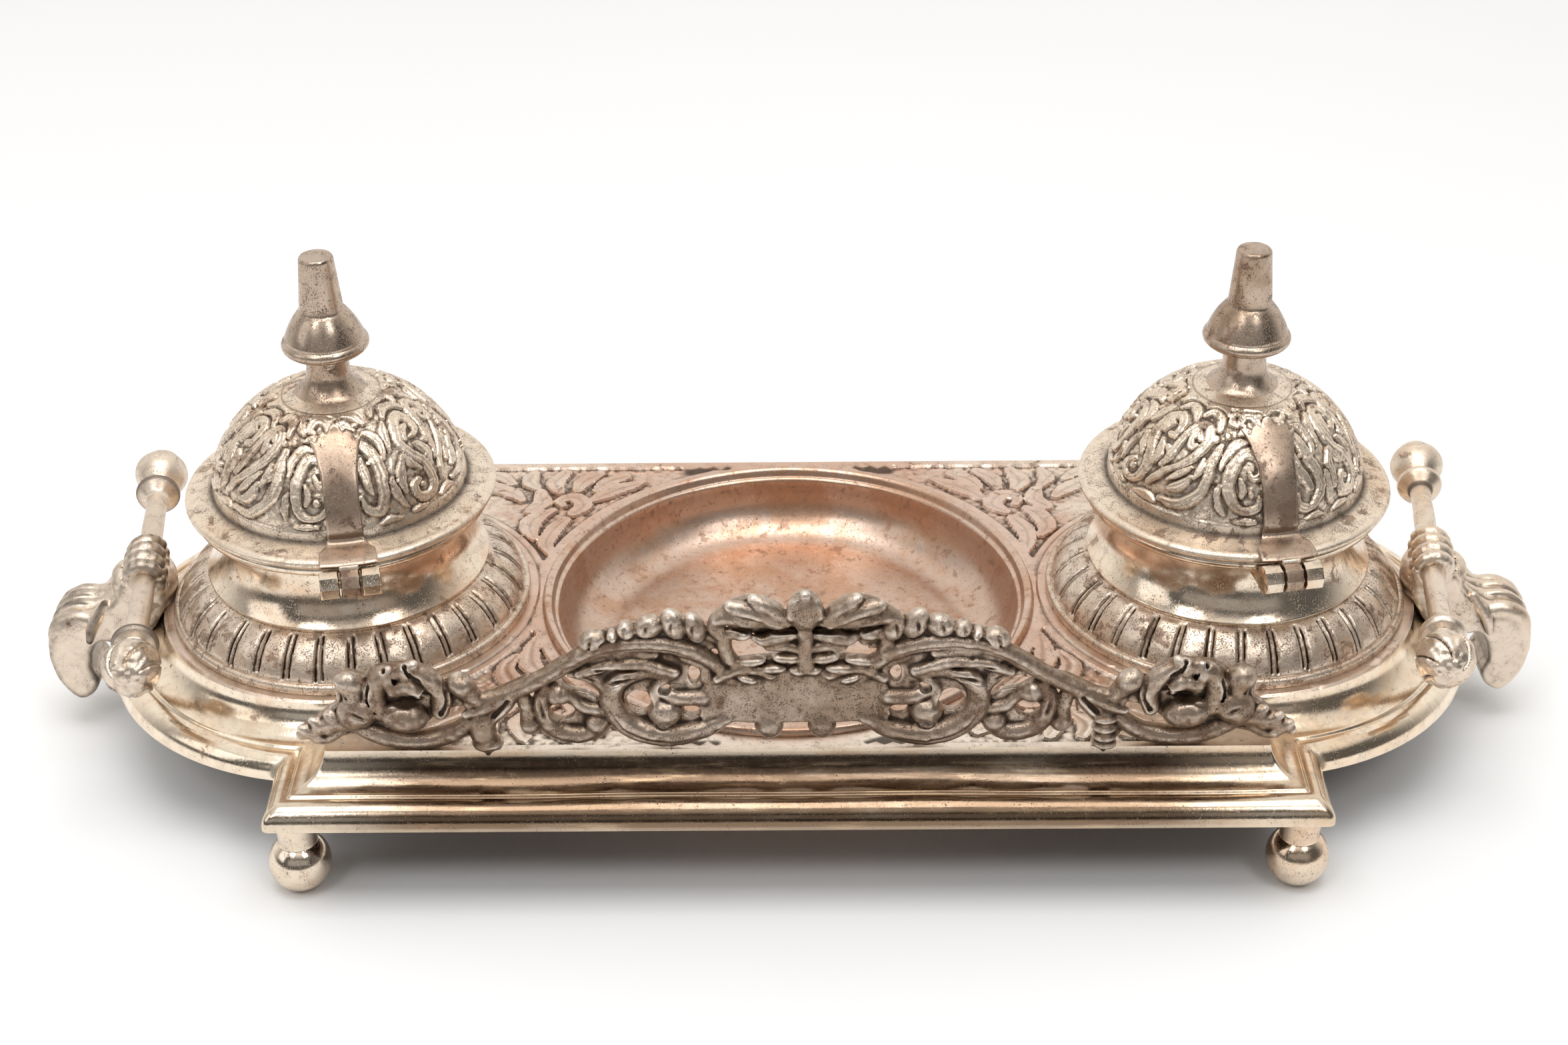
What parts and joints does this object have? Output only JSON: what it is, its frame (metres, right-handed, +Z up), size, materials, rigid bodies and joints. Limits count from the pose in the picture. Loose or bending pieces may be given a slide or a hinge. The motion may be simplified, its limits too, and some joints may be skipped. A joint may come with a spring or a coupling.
{
  "type": "inkwell",
  "caption": "Double desk inkwell stand: footed metal tray with two hinged domed ink pots, a central dish, a pierced scroll gallery and end handles.",
  "frame": {"origin": "on the table under the middle of the tray", "axes": "+X along the tray to the right-hand pot, +Y to the writer's side, -Y to the hinges and the gallery, +Z up"},
  "size_m": [0.3086, 0.131, 0.1066],
  "materials": {
    "tray_metal": "worn silver plate over brass, polished",
    "polished_metal": "worn silver plate over brass, polished",
    "embossed_metal": "worn silver plate, chased and tarnished in the recesses",
    "fluted_metal": "worn silver plate, tarnished in the grooves",
    "cast_metal": "cast brass, worn plate",
    "gallery_metal": "cast, grey-brown patina",
    "coppery_dish": "worn to the coppery base metal",
    "fastener_brass": "dull brass",
    "liner_glass": "clear pressed glass"
  },
  "bodies": {
    "stand": {"base_tray": "tray_metal", "centre_dish": "coppery_dish", "foot_left_rear": "polished_metal", "foot_left_front": "polished_metal", "foot_right_rear": "polished_metal", "foot_right_front": "polished_metal", "gallery": "gallery_metal", "gallery_nuts": "fastener_brass", "bracket_screws": "fastener_brass", "left_pot_skirt": "fluted_metal", "left_pot_body": "polished_metal", "left_pot_bolt": "fastener_brass", "left_pot_nut": "fastener_brass", "left_ink_liner": "liner_glass", "left_hinge_knuckles": "polished_metal", "left_hinge_pin": "fastener_brass", "left_handle_bracket": "cast_metal", "left_handle_bar": "cast_metal", "left_bar_ball_front": "cast_metal", "left_bar_ball_rear": "cast_metal", "right_pot_skirt": "fluted_metal", "right_pot_body": "polished_metal", "right_pot_bolt": "fastener_brass", "right_pot_nut": "fastener_brass", "right_ink_liner": "liner_glass", "right_hinge_knuckles": "polished_metal", "right_hinge_pin": "fastener_brass", "right_handle_bracket": "cast_metal", "right_handle_bar": "cast_metal", "right_bar_ball_front": "cast_metal", "right_bar_ball_rear": "cast_metal"},
    "left_lid": {"left_lid_dome": "embossed_metal", "left_lid_finial": "polished_metal", "left_finial_nut": "fastener_brass", "left_hinge_strap": "polished_metal"},
    "right_lid": {"right_lid_dome": "embossed_metal", "right_lid_finial": "polished_metal", "right_finial_nut": "fastener_brass", "right_hinge_strap": "polished_metal"}
  },
  "joints": [
    {"name": "left_lid_hinge", "type": "hinge", "parent": "stand", "child": "left_lid", "pos_m": [-0.08361, -0.03288, 0.053], "axis": [0.9816, 0.1908, 0], "range_deg": [0, 105]},
    {"name": "right_lid_hinge", "type": "hinge", "parent": "stand", "child": "right_lid", "pos_m": [0.09639, -0.03288, 0.053], "axis": [0.9816, 0.1908, 0], "range_deg": [0, 105]}
  ]
}
